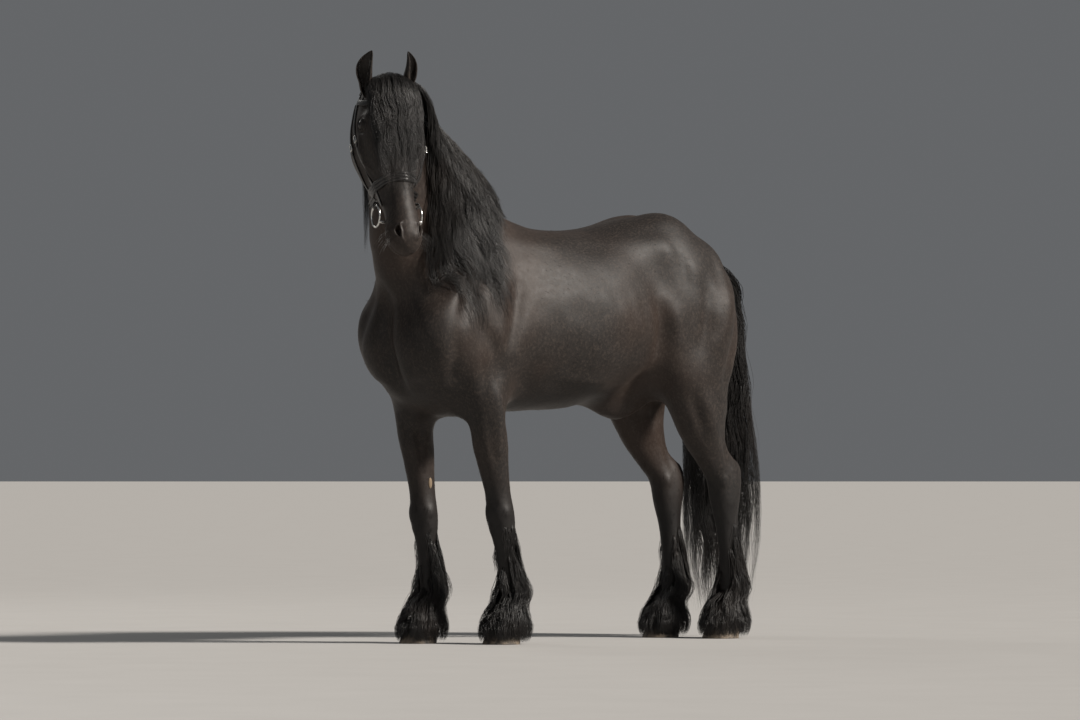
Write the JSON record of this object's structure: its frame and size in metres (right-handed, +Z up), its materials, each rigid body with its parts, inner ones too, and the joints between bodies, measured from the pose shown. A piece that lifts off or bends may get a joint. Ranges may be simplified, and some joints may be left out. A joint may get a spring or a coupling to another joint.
{
  "type": "friesian horse",
  "caption": "Black Friesian stallion standing with its head turned to the left, long wavy mane, forelock and tail, feathered feet and a leather bridle with a ring bit.",
  "frame": {"origin": "middle of the bounding box in X and Y, on the floor the hooves stand on", "axes": "+X to the front of the body, +Y to its left, +Z up"},
  "size_m": [2.187, 0.7406, 2.2259],
  "materials": {
    "coat": "short black coat with a warm sheen",
    "hair": "long wavy black hair",
    "horn": "dusty dark horn",
    "eye": "wet, near black brown",
    "leather": "polished black",
    "steel": "polished"
  },
  "bodies": {
    "root": {"bit": "steel", "browband": "leather", "ear_left": "coat", "ear_right": "coat", "eye_left": "eye", "eye_right": "eye", "head": "coat", "headstall": "leather", "hoof_fore_left": "horn", "hoof_fore_right": "horn", "hoof_hind_left": "horn", "hoof_hind_right": "horn", "lower_leg_fore_left": "coat", "lower_leg_fore_right": "coat", "lower_leg_hind_left": "coat", "lower_leg_hind_right": "coat", "neck": "coat", "noseband": "leather", "tail": "hair", "throatlash": "leather", "torso": "coat", "upper_leg_fore_left": "coat", "upper_leg_fore_right": "coat", "upper_leg_hind_left": "coat", "upper_leg_hind_right": "coat"}
  },
  "joints": []
}
